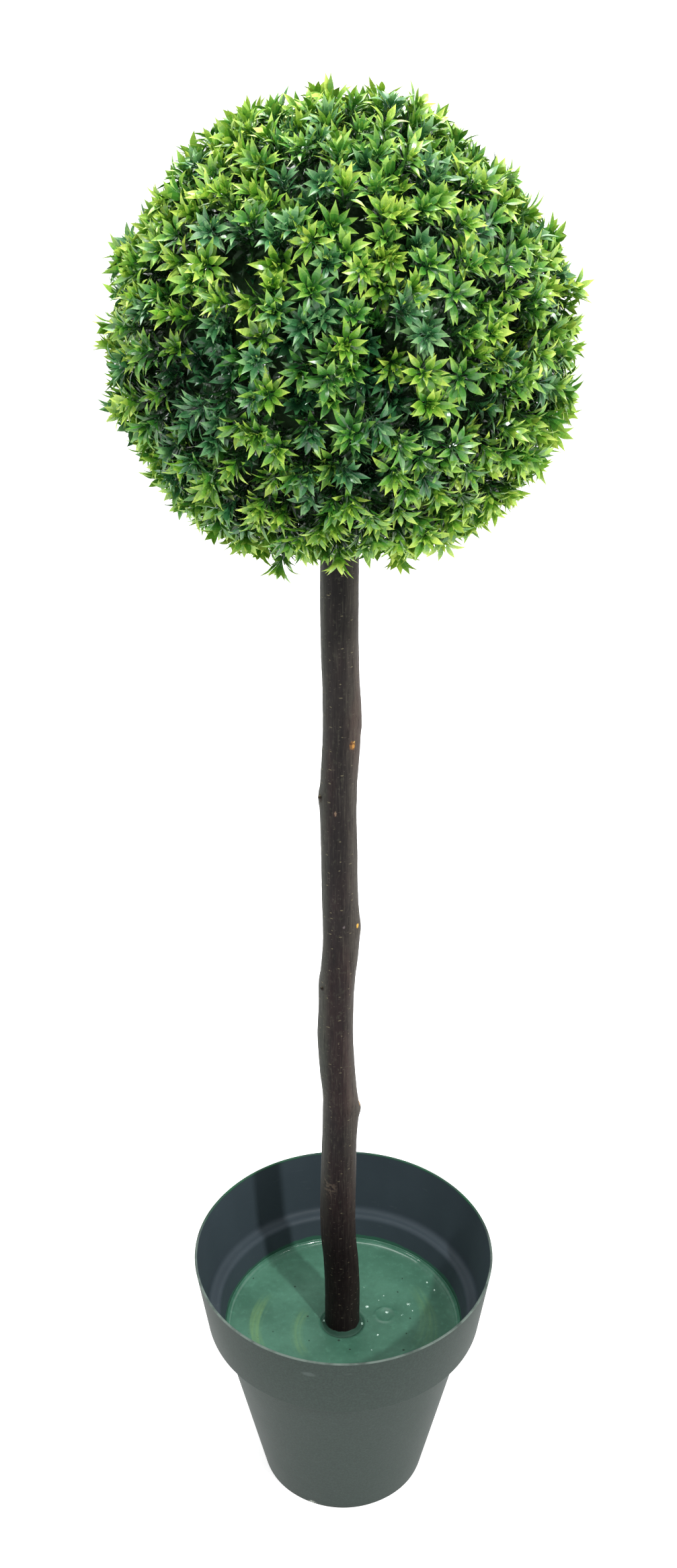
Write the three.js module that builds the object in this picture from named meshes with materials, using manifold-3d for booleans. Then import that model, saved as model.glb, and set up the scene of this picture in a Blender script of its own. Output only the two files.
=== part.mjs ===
// A lollipop topiary: a clipped ball of moulded leaves on a real stick, which stands in a
// painted cement fill in a collared plastic pot. Millimetres, +Z up. The origin is the middle
// of the pot's flat underside, +X is the tree's right and the front looks along -Y.

import * as THREE from "three";
import { mergeVertices } from "three/addons/utils/BufferGeometryUtils.js";
import Module from "manifold-3d";

const wasm = await Module();
wasm.setup();

const GAP = 0.3; // between pieces that touch
const MERGE = 1e-3; // vertices this near are one

// The pot: a tapering body under a deeper, wider collar, in one thin moulded wall.
const POT_HEIGHT = 303;
const POT_RIM = 162; // outer radii
const POT_COLLAR_FOOT = 150.5;
const POT_BODY_TOP = 138;
const POT_BASE = 91.7;
const POT_COLLAR_DEPTH = 82;
const POT_WALL = 2.6;
const POT_FLOOR = 3;
const POT_SIDES = 48;
const POT_EDGE = 1.4; // size of the small bevels on its corners
const POT_FILLET = 4.5; // inside, above and below the step

// The cement fill, poured round the stick.
const CEMENT_LEVEL = 198;

// The stick, a young stem in its bark that bends a little at its knots.
const TRUNK_FOOT = 24; // height of the lower cut, in the cement
const TRUNK_TIP = 1444; // height of the upper cut, in the ball
const TRUNK_FOOT_RADIUS = 18.9;
const TRUNK_TIP_RADIUS = 16.7;
const TRUNK_SIDES = 12;
const TRUNK_RING_STEP = 44;
const TRUNK_OVAL = 0.4;

// Where the stick bends: its height, then how far it stands to the right of the pot's axis
// and behind it.
const TRUNK_BENDS = [
  [TRUNK_FOOT, -1.2, 2],
  [200, -1.3, 2],
  [256, -1.2, 1.5],
  [340, -6, 1],
  [385, -6, 0.8],
  [455, -4.4, 0.5],
  [500, -3.4, 2.5],
  [592, -8.5, -1],
  [640, -7.7, 0],
  [715, -3, 2.5],
  [800, -4.7, -1.5],
  [865, -5.8, -2],
  [950, -2.4, 1],
  [1060, -4.7, 0.5],
  [1150, -4.3, 0],
  [TRUNK_TIP, -2.6, 0],
];

// Its knots: height, the side they stand out on, in degrees from +X towards +Y, and by how much.
const TRUNK_KNOTS = [
  [503, 0, 2.6],
  [660, 180, 1.3],
  [728, -20, 2],
  [876, 180, 1.5],
  [929, -45, 0.7],
  [959, 0, 2],
];
const KNOT_LENGTH = 13;
const KNOT_WIDTH = 45; // degrees round the stick

// The ball: two hollow half shells carry the leaf masses.
const BALL_HEIGHT = 1306; // of its centre
const BALL_OFFSET = -2.6; // of its centre, to the right of the pot's axis
const BALL_REACH = 197; // from its centre to the leaf tips
const CORE_RADIUS = 148;
const CORE_WALL = 3;
const CORE_SIDES = 24;
const CORE_STEPS = 6; // from the equator to the pole
const SLEEVE_RADIUS = 19.1; // inside, round the stick where it enters the ball
const SLEEVE_LENGTH = 34;
const SOCKET_RADIUS = 17.45; // inside, round the stick's tip
const SOCKET_LENGTH = 34;
const LEAF_ROOT = 144; // radius that the leaf masses start from before the core is cut out
const BELT_MASSES = 5; // in each of the two belts
const MASS_STEPS = 6; // across each of them, and up it
const CAP_STEPS = 3; // from the middle of the crown, or of the skirt, to its seam
const CROWN_EDGE = 56; // rise of the seam round the crown, in degrees above level
const SKIRT_EDGE = -58; // rise of the seam round the skirt
const SEAM_WANDER = 5; // degrees that the seams wander
const TUFT = 1.6; // height of the small unevenness

// The large swells and hollows of the clipped outline: turn from +X towards +Y and rise above
// level, in degrees, then height in mm and spread in degrees.
const SWELLS = [
  [18, 46, -11, 15],
  [-128, 33, -12, 8],
  [-132, 3, -8, 9],
  [214, -62, -7, 9],
  [-31, -60, -4, 9],
  [190, -30, -4, 9],
  [169, 33, -5, 11],
  [198, -46, 5, 9],
  [182, -7, 6, 11],
  [142, 64, 5, 12],
  [46, 68, 4, 10],
  [4, 14, 5, 14],
  [-12, -34, 4, 12],
  [95, 20, -5, 13],
  [70, -25, 4, 14],
  [125, -12, 4, 12],
];

const degrees = THREE.MathUtils.degToRad;
const lerp = THREE.MathUtils.lerp;
const bell = (distance, spread) => Math.exp(-((distance / spread) ** 2));
const turnBetween = (a, b) => Math.abs(((((a - b + 180) % 360) + 360) % 360) - 180);

// ---- shapes -------------------------------------------------------------------------------

// A profile of [radius, height] points turned round the Z axis, starting from +X.
function turned(profile, sides) {
  const points = profile.map(([radius, height]) => new THREE.Vector2(radius, height));
  return new THREE.LatheGeometry(points, sides, Math.PI / 2).rotateX(Math.PI / 2);
}

// The geometry with each vertex moved to place(x, y, z).
function bent(geometry, place) {
  const at = geometry.getAttribute("position");
  for (let i = 0; i < at.count; i++) {
    at.setXYZ(i, ...place(at.getX(i), at.getY(i), at.getZ(i)));
  }
  geometry.computeVertexNormals();
  return geometry;
}

function solid(geometry) {
  const bare = geometry.clone();
  bare.deleteAttribute("normal");
  bare.deleteAttribute("uv");
  const merged = mergeVertices(bare, MERGE);
  return new wasm.Manifold(
    new wasm.Mesh({
      numProp: 3,
      vertProperties: merged.getAttribute("position").array,
      triVerts: new Uint32Array(merged.index.array),
    }),
  );
}

function geometryOf(made) {
  const { vertProperties, triVerts } = made.getMesh();
  const geometry = new THREE.BufferGeometry();
  geometry.setAttribute("position", new THREE.BufferAttribute(vertProperties, 3));
  geometry.setIndex(new THREE.BufferAttribute(triVerts, 1));
  geometry.computeVertexNormals();
  return geometry;
}

// ---- pot and cement -----------------------------------------------------------------------

const collarFoot = POT_HEIGHT - POT_COLLAR_DEPTH;
const bodyTaper = (POT_BODY_TOP - POT_BASE) / collarFoot;
const bodyRadius = (height) => POT_BASE + bodyTaper * height;
const collarRadius = (height) =>
  lerp(POT_COLLAR_FOOT, POT_RIM, (height - collarFoot) / POT_COLLAR_DEPTH);

function pot() {
  const stepTop = collarFoot + 2 * POT_WALL;
  const filletTop = stepTop + POT_FILLET;
  const filletFoot = stepTop - POT_FILLET;
  const inner = (height) => bodyRadius(height) - POT_WALL;
  return turned(
    [
      [0, 0],
      [POT_BASE - POT_EDGE, 0],
      [bodyRadius(POT_EDGE), POT_EDGE],
      [bodyRadius(collarFoot - POT_EDGE), collarFoot - POT_EDGE],
      [POT_BODY_TOP + POT_EDGE, collarFoot],
      [POT_COLLAR_FOOT - POT_EDGE, collarFoot],
      [collarRadius(collarFoot + POT_EDGE), collarFoot + POT_EDGE],
      [POT_RIM, POT_HEIGHT - POT_EDGE / 2],
      [POT_RIM - POT_EDGE / 2, POT_HEIGHT],
      [POT_RIM - POT_WALL + POT_EDGE / 2, POT_HEIGHT],
      [POT_RIM - POT_WALL, POT_HEIGHT - POT_EDGE / 2],
      [collarRadius(filletTop) - POT_WALL, filletTop],
      [collarRadius(stepTop) - POT_WALL - POT_FILLET / 3, stepTop + POT_FILLET / 3],
      [collarRadius(stepTop) - POT_WALL - POT_FILLET, stepTop],
      [inner(stepTop) + POT_FILLET / 2, stepTop - POT_EDGE / 2],
      [inner(filletFoot), filletFoot],
      [inner(POT_FLOOR + POT_FILLET), POT_FLOOR + POT_FILLET],
      [inner(POT_FLOOR) - POT_FILLET, POT_FLOOR],
      [0, POT_FLOOR],
    ],
    POT_SIDES,
  );
}

function cement() {
  const foot = POT_FLOOR + GAP;
  const edge = foot + POT_FILLET;
  const radius = (height) => bodyRadius(height) - POT_WALL - GAP;
  const fill = turned(
    [
      [0, foot],
      [radius(foot) - POT_FILLET, foot],
      [radius(edge), edge],
      [radius(CEMENT_LEVEL), CEMENT_LEVEL],
      [0, CEMENT_LEVEL],
    ],
    POT_SIDES,
  );
  return geometryOf(solid(fill).subtract(solid(trunk(GAP))));
}

// ---- trunk --------------------------------------------------------------------------------

// The middle of the stick at a height, as [right, back].
function trunkMiddle(height) {
  const next = Math.max(1, TRUNK_BENDS.findIndex(([bend]) => bend >= height));
  const [from, ...fromPlace] = TRUNK_BENDS[next - 1];
  const [to, ...toPlace] = TRUNK_BENDS[next];
  const share = THREE.MathUtils.smoothstep(height, from, to);
  return fromPlace.map((value, axis) => lerp(value, toPlace[axis], share));
}

function trunkRadius(height, turn) {
  const share = (height - TRUNK_FOOT) / (TRUNK_TIP - TRUNK_FOOT);
  const oval = TRUNK_OVAL * Math.cos(2 * degrees(turn) + share * Math.PI);
  const knots = TRUNK_KNOTS.map(
    ([at, side, size]) =>
      size * bell(height - at, KNOT_LENGTH) * bell(turnBetween(turn, side), KNOT_WIDTH),
  );
  return knots.reduce((a, b) => a + b, lerp(TRUNK_FOOT_RADIUS, TRUNK_TIP_RADIUS, share) + oval);
}

function trunkRings() {
  const rings = [TRUNK_TIP];
  for (let height = TRUNK_FOOT; height < TRUNK_TIP; height += TRUNK_RING_STEP) rings.push(height);
  for (const [at] of TRUNK_KNOTS) rings.push(at - KNOT_LENGTH, at, at + KNOT_LENGTH);
  return rings.sort((a, b) => a - b);
}

// The stick, grown outwards and downwards by room to cut its own hole.
function trunk(room = 0) {
  const rings = trunkRings();
  const steps = rings.length - 1;
  const post = new THREE.CylinderGeometry(1, 1, 1, TRUNK_SIDES, steps).rotateX(Math.PI / 2);
  return bent(post, (x, y, z) => {
    const height = rings[Math.round((z + 0.5) * steps)];
    const turn = THREE.MathUtils.radToDeg(Math.atan2(y, x));
    const radius = (trunkRadius(height, turn) + room) * Math.min(1, Math.hypot(x, y));
    const lowered = height === TRUNK_FOOT ? height - room : height;
    const [right, back] = trunkMiddle(height);
    return [
      right + radius * Math.cos(degrees(turn)),
      back + radius * Math.sin(degrees(turn)),
      lowered,
    ];
  });
}

// ---- ball core ----------------------------------------------------------------------------

// Points of an arc between two rises above the equator, in the profile's plane.
function arc(radius, fromRise, toRise) {
  return Array.from({ length: CORE_STEPS + 1 }, (_, step) => {
    const rise = lerp(fromRise, toRise, step / CORE_STEPS);
    return [radius * Math.max(0, Math.cos(rise)), radius * Math.sin(rise)];
  });
}

const coreSeam = Math.asin(GAP / 2 / CORE_RADIUS); // each half's rise from the equator
const coreMouth = Math.acos(SLEEVE_RADIUS / CORE_RADIUS); // fall to the hole for the stick

// The upper half, with the socket that sits on the stick's tip.
function coreUpper() {
  const inside = CORE_RADIUS - CORE_WALL;
  const outer = SOCKET_RADIUS + CORE_WALL;
  const innerTop = Math.sqrt(inside ** 2 - SOCKET_RADIUS ** 2);
  const outerRise = Math.acos(outer / inside);
  return turned(
    [
      ...arc(CORE_RADIUS, coreSeam, Math.PI / 2),
      [0, inside],
      [SOCKET_RADIUS, innerTop],
      [SOCKET_RADIUS, innerTop - SOCKET_LENGTH],
      [outer, innerTop - SOCKET_LENGTH],
      ...arc(inside, outerRise, coreSeam),
      [CORE_RADIUS * Math.cos(coreSeam), CORE_RADIUS * Math.sin(coreSeam)],
    ],
    CORE_SIDES,
  );
}

// The lower half, with the sleeve that grips the stick.
function coreLower() {
  const inside = CORE_RADIUS - CORE_WALL;
  const outer = SLEEVE_RADIUS + CORE_WALL;
  const innerRise = Math.acos(outer / inside);
  const sleeveTop = -inside * Math.sin(innerRise) + SLEEVE_LENGTH;
  return turned(
    [
      ...arc(CORE_RADIUS, -coreMouth, -coreSeam),
      ...arc(inside, -coreSeam, -innerRise),
      [outer, sleeveTop],
      [SLEEVE_RADIUS, sleeveTop],
      [SLEEVE_RADIUS, -CORE_RADIUS * Math.sin(coreMouth)],
    ],
    CORE_SIDES,
  );
}

// The whole core, grown by the gap, to cut the leaf masses with.
function coreRoom() {
  const grown = CORE_RADIUS + GAP;
  const profile = [
    [0, -grown * Math.sin(coreMouth)],
    ...arc(grown, -coreMouth, 0),
    ...arc(grown, 0, Math.PI / 2).slice(1),
  ];
  return solid(turned(profile, CORE_SIDES));
}

// ---- leaf masses --------------------------------------------------------------------------

// The point of the ball at a turn and a rise in degrees, at the given radius.
function onBall(turn, rise, radius) {
  const level = Math.cos(degrees(rise));
  return new THREE.Vector3(
    radius * level * Math.cos(degrees(turn)),
    radius * level * Math.sin(degrees(turn)),
    radius * Math.sin(degrees(rise)),
  );
}

// How far the leaf tips stand from the ball's centre in a direction.
function leafReach(turn, rise) {
  const way = onBall(turn, rise, 1);
  const swells = SWELLS.map(([swellTurn, swellRise, height, spread]) => {
    const away = THREE.MathUtils.radToDeg(way.angleTo(onBall(swellTurn, swellRise, 1)));
    return height * bell(away, spread);
  });
  const tuft = TUFT * Math.sin(9 * way.x + 5 * way.z) * Math.cos(8 * way.y - 6 * way.z);
  return swells.reduce((a, b) => a + b, BALL_REACH + tuft);
}

const seamHalf = THREE.MathUtils.radToDeg(GAP / 2 / CORE_RADIUS);
const crownEdge = (turn) => CROWN_EDGE + SEAM_WANDER * Math.sin(3 * degrees(turn));
const skirtEdge = (turn) => SKIRT_EDGE + SEAM_WANDER * Math.sin(2 * degrees(turn) + 1);

// The two belts between the crown, the equator and the skirt: the rises of their edges, and
// how their upright seams are placed.
const UPPER_BELT = {
  shift: 0,
  phase: 1.9,
  foot: () => seamHalf,
  top: (turn) => crownEdge(turn) - seamHalf,
};
const LOWER_BELT = {
  shift: 31,
  phase: 2.7,
  foot: (turn) => skirtEdge(turn) + seamHalf,
  top: () => -seamHalf,
};

// The turn at a place along a belt, counted in masses, between its wandering seams.
function beltTurn({ shift, phase }, place, rise) {
  const seam = (count) =>
    (360 / BELT_MASSES) * count +
    SEAM_WANDER * Math.sin(4 * degrees(rise) + phase * (count % BELT_MASSES));
  const index = Math.floor(place);
  return shift + lerp(seam(index), seam(index + 1), place - index);
}

// A bent slab cut to sit on the core.
function seated(slab, place) {
  return geometryOf(solid(bent(slab, place)).subtract(coreRoom()));
}

// One mass of a belt, from its own seam to the next.
function beltMass(belt, index) {
  const slab = new THREE.BoxGeometry(1, 1, 1, MASS_STEPS, MASS_STEPS, 1);
  return seated(slab, (x, y, z) => {
    const rough = lerp(belt.foot(0), belt.top(0), y + 0.5);
    const inwards = { "-0.5": 1, 0.5: -1 }[x] ?? 0; // away from the seam, on the two end rows
    const clear = (inwards * seamHalf) / Math.cos(degrees(rough));
    const turn = beltTurn(belt, index + x + 0.5, rough) + clear;
    const rise = lerp(belt.foot(turn), belt.top(turn), y + 0.5);
    return onBall(turn, rise, z > 0 ? leafReach(turn, rise) : LEAF_ROOT).toArray();
  });
}

// A flat round slab of height 1, whole and of radius 1, or of radius 2 with a hole of radius 1.
function leafSlab(closed) {
  const start = closed ? 0 : 1;
  const across = Array.from({ length: CAP_STEPS + 1 }, (_, step) => start + step / CAP_STEPS);
  const under = across.map((radius) => [radius, 0]);
  const over = across.map((radius) => [radius, 1]).reverse();
  const rim = closed ? [] : [under[0]];
  return turned([...under, ...over, ...rim], BELT_MASSES * MASS_STEPS);
}

// The turn of a vertex of a slab, on the same lines as the belt it meets.
function slabTurn(x, y, belt, rise) {
  const sides = BELT_MASSES * MASS_STEPS;
  const step = (Math.round((Math.atan2(y, x) / (2 * Math.PI)) * sides) + sides) % sides;
  return beltTurn(belt, step / MASS_STEPS, rise);
}

function crownMass() {
  return seated(leafSlab(true), (x, y, z) => {
    const turn = slabTurn(x, y, UPPER_BELT, UPPER_BELT.top(0));
    const rise = lerp(90, crownEdge(turn) + seamHalf, Math.hypot(x, y));
    return onBall(turn, rise, z > 0.5 ? leafReach(turn, rise) : LEAF_ROOT).toArray();
  });
}

// The mass under the ball, cut round the stick.
function skirtMass() {
  return seated(leafSlab(false), (x, y, z) => {
    const turn = slabTurn(x, y, LOWER_BELT, LOWER_BELT.foot(0));
    const outside = z < 0.5;
    const hole = Math.acos((SLEEVE_RADIUS + GAP) / (outside ? BALL_REACH : LEAF_ROOT));
    const holeRise = -THREE.MathUtils.radToDeg(hole);
    const rise = lerp(holeRise, skirtEdge(turn) - seamHalf, Math.hypot(x, y) - 1);
    return onBall(turn, rise, outside ? leafReach(turn, rise) : LEAF_ROOT).toArray();
  });
}

// ---- materials and assembly ---------------------------------------------------------------

function material(color, roughness) {
  return new THREE.MeshStandardMaterial({ color, roughness, metalness: 0 });
}

const POT_PLASTIC = material(0x55615c, 0.6);
const CEMENT_PAINT = material(0x4f836b, 0.35);
const BARK = material(0x2b201d, 0.7);
const CORE_PLASTIC = material(0x1d2a1c, 0.6);
const LEAVES = [material(0x3f8a35, 0.45), material(0x2f6f3d, 0.45), material(0x6aa63a, 0.45)];

const topiary = new THREE.Group();

function add(name, geometry, surface, parent = topiary) {
  const mesh = new THREE.Mesh(geometry, surface);
  mesh.name = name;
  parent.add(mesh);
}

add("pot", pot(), POT_PLASTIC);
add("cement", cement(), CEMENT_PAINT);
add("trunk", trunk(), BARK);

const ball = new THREE.Group();
ball.position.set(BALL_OFFSET, 0, BALL_HEIGHT);
topiary.add(ball);

add("core_lower", coreLower(), CORE_PLASTIC, ball);
add("core_upper", coreUpper(), CORE_PLASTIC, ball);

add("foliage_crown", crownMass(), LEAVES[2], ball);
Object.entries({ upper: UPPER_BELT, lower: LOWER_BELT }).forEach(([name, belt], row) => {
  for (let index = 0; index < BELT_MASSES; index++) {
    const surface = LEAVES[(index + row) % LEAVES.length];
    add(`foliage_${name}_${index + 1}`, beltMass(belt, index), surface, ball);
  }
});
add("foliage_skirt", skirtMass(), LEAVES[1], ball);

export default topiary;
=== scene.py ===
import math

import bpy
import numpy as np
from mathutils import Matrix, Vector, noise
from mathutils.bvhtree import BVHTree


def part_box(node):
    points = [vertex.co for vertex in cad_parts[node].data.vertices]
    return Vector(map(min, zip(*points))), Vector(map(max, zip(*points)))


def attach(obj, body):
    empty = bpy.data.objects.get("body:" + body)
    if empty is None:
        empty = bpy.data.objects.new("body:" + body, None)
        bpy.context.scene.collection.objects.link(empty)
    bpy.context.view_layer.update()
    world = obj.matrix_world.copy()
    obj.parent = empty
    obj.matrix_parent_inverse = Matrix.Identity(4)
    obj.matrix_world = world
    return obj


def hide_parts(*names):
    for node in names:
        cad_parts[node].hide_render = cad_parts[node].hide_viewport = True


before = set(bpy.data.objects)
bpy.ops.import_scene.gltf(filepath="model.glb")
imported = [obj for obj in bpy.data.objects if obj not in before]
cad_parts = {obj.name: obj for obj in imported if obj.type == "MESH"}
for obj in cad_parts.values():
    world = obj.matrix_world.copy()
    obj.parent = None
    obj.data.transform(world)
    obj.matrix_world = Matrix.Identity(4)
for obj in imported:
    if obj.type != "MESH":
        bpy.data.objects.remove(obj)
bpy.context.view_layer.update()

# A lollipop topiary: a clipped ball of moulded leaf rosettes on a bark stick, which stands in a
# painted cement fill in a collared plastic pot. Metres, +Z up, the front looks along -Y.

MM = 0.001


# ---- finishes ----


class Wire:
    """A shader value that Python sums work on."""

    def __init__(self, shading, socket):
        self.shading = shading
        self.socket = socket

    def __add__(self, other):
        return self.shading.sum("ADD", self, other)

    def __sub__(self, other):
        return self.shading.sum("SUBTRACT", self, other)

    def __rsub__(self, other):
        return self.shading.sum("SUBTRACT", other, self)

    def __mul__(self, other):
        return self.shading.sum("MULTIPLY", self, other)

    def __truediv__(self, other):
        return self.shading.sum("DIVIDE", self, other)

    def __rtruediv__(self, other):
        return self.shading.sum("DIVIDE", other, self)

    __radd__ = __add__
    __rmul__ = __mul__


class Shading:
    """A shader and the nodes that feed it."""

    def __init__(self, tree, shader):
        self.tree = tree
        self.shader = tree.nodes[shader]

    def node(self, kind, settings, inputs, output=0):
        """A new node, with its settings, and its sockets by name or place as values or wires."""
        made = self.tree.nodes.new("ShaderNode" + kind)
        for name, value in settings.items():
            setattr(made, name, value)
        for name, value in inputs.items():
            if isinstance(value, Wire):
                self.tree.links.new(value.socket, made.inputs[name])
            else:
                made.inputs[name].default_value = value
        return Wire(self, made.outputs[output])

    def sum(self, operation, *values):
        return self.node("Math", {"operation": operation}, dict(enumerate(values)))

    def feed(self, socket, wire):
        self.tree.links.new(wire.socket, self.shader.inputs[socket])


class Finish(Shading):
    """A material: its shader, and the nodes that vary it over the surface."""

    def __init__(self, title, **constants):
        self.material = bpy.data.materials.new(title)
        self.material.use_nodes = True
        self.colour = None
        super().__init__(self.material.node_tree, "Principled BSDF")
        for name, value in constants.items():
            socket = name.replace("_", " ").title().replace("Ior", "IOR")
            self.shader.inputs[socket].default_value = value

    def place(self):
        """Where the surface is, in the shared frame."""
        return self.node("TexCoord", {}, {}, "Object")

    def vector(self, operation, *values, output=0):
        return self.node("VectorMath", {"operation": operation}, dict(enumerate(values)), output)

    def length(self, vector):
        return self.vector("LENGTH", vector, output=1)

    def axes(self, vector):
        return [self.node("SeparateXYZ", {}, {0: vector}, axis) for axis in range(3)]

    def joined(self, x, y, z):
        return self.node("CombineXYZ", {}, {0: x, 1: y, 2: z})

    def grain(self, vector, scale, detail=3.0, roughness=0.55, stretch=None):
        """Noise between 0 and 1, finer along the axes where stretch is larger."""
        if stretch:
            vector = self.vector("MULTIPLY", vector, stretch)
        inputs = {"Vector": vector, "Scale": scale, "Detail": detail, "Roughness": roughness}
        return self.node("TexNoise", {}, inputs)

    def step(self, value, low, high):
        """0 below low, 1 above high, and smooth between. With low above high it falls."""
        inputs = {0: value, 1: low, 2: high, 3: 0.0, 4: 1.0}
        return self.node("MapRange", {"interpolation_type": "SMOOTHSTEP"}, inputs)

    def near(self, vector, point, reach, stretch=(1, 1, 1)):
        """1 at a point, falling to 0 at reach from it."""
        apart = self.vector("MULTIPLY", self.vector("SUBTRACT", vector, point), stretch)
        return self.step(self.length(apart), reach, reach * 0.35)

    def blend(self, mask, first, second):
        """The first colour where the mask is 0 and the second where it is 1."""
        return self.node("Mix", {"data_type": "RGBA"}, {0: mask, 6: first, 7: second}, 2)

    def coat(self, mask, shade):
        """Lays a shade over the colour so far, where the mask is 1."""
        self.colour = self.blend(mask, self.colour, paint(*shade))

    def relief(self, height, depth, strength=1.0):
        inputs = {"Height": height, "Distance": depth, "Strength": strength}
        self.feed("Normal", self.node("Bump", {}, inputs))


def paint(red, green, blue):
    """A shader colour from its 0 to 255 values."""
    shares = (value / 255 for value in (red, green, blue))
    return tuple(s / 12.92 if s < 0.04 else ((s + 0.055) / 1.055) ** 2.4 for s in shares) + (1.0,)


def hump(gap, wide, power=2):
    """1 where the gap is 0, falling smoothly as it grows."""
    return math.exp(-((gap / wide) ** power))


def between(first, second, share):
    return tuple(a + (b - a) * share for a, b in zip(first, second, strict=True))


# ---- meshes ----


def stand(name, data):
    """A new object in the scene."""
    thing = bpy.data.objects.new(name, data)
    bpy.context.scene.collection.objects.link(thing)
    return thing


def make_piece(name, points, faces, finishes, slot, worn=None):
    """A smooth mesh that stands with the rest, each face wearing the finish that worn picks."""
    mesh = bpy.data.meshes.new(name)
    mesh.from_pydata(points, [], faces)
    for finish in finishes:
        mesh.materials.append(finish.material)
    if worn is not None:
        mesh.polygons.foreach_set("material_index", np.asarray(worn, np.int32))
    mesh.shade_smooth()
    mesh.update()
    piece = stand(name, mesh)
    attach(piece, "root")
    return piece


def tube_faces(rings, sides):
    """The quads of a stack of closed rings."""
    faces = []
    for ring in range(rings - 1):
        for side in range(sides):
            start = ring * sides
            after = (side + 1) % sides
            faces.append((start + side, start + after, start + sides + after, start + sides + side))
    return faces


def rounded(corners, steps=5):
    """A line through [radius, height, rounding] corners, with its corners rounded."""
    line = []
    for place, (radius, height, size) in enumerate(corners):
        corner = Vector((radius, height))
        if size == 0:
            line.append(corner)
            continue
        ends = []
        for other in (corners[place - 1], corners[place + 1]):
            way = Vector(other[:2]) - corner
            ends.append(corner + way * min(size / way.length, 0.5))
        for step in range(steps + 1):
            share = step / steps
            first = ends[0].lerp(corner, share)
            second = corner.lerp(ends[1], share)
            line.append(first.lerp(second, share))
    return line


def turned(line, sides, sway=lambda turn, height: 0.0):
    """Points and faces of a line turned round the Z axis, closed where it meets the axis."""
    points = []
    for radius, height in line[1:-1]:
        for side in range(sides):
            turn = 2 * math.pi * side / sides
            reach = radius + sway(turn, height)
            points.append((reach * math.cos(turn), reach * math.sin(turn), height))
    rings = len(line) - 2
    faces = tube_faces(rings, sides)
    for end, ring in ((line[0], 0), (line[-1], rings - 1)):
        middle = len(points)
        points.append((0.0, 0.0, end[1]))
        for side in range(sides):
            fan = (middle, ring * sides + (side + 1) % sides, ring * sides + side)
            faces.append(fan if ring == 0 else fan[::-1])
    return points, faces


# ---- pot ----

POT_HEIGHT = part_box("pot")[1].z
POT_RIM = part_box("pot")[1].x
POT_COLLAR_FOOT = 150.5 * MM
POT_BODY_TOP = 138 * MM
POT_BASE = 91.7 * MM
POT_COLLAR_DEPTH = 82 * MM
POT_WALL = 2.6 * MM
POT_FLOOR = 3 * MM
POT_SIDES = 192
CHIP_PLACE = (-0.035, -0.0855, 0.003)  # a pale nick on the foot's edge
RUBBED_SHEEN_PLACE = (-0.036, -0.155, 0.282)  # a faint rubbed mark on the collar, with a painted sheen
RIM_BACK_PAINT = (34, 80, 54)  # green paint on the far half of the rim
RIM_FRONT_HIGHLIGHT = (118, 132, 124)  # painted highlight on the near half
collar_foot = POT_HEIGHT - POT_COLLAR_DEPTH
step_top = collar_foot + 2 * POT_WALL
body_slope = (POT_BODY_TOP - POT_BASE) / collar_foot
collar_slope = (POT_RIM - POT_COLLAR_FOOT) / POT_COLLAR_DEPTH


def body_radius(height):
    return POT_BASE + body_slope * height


def collar_radius(height):
    return POT_COLLAR_FOOT + collar_slope * (height - collar_foot)


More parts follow.
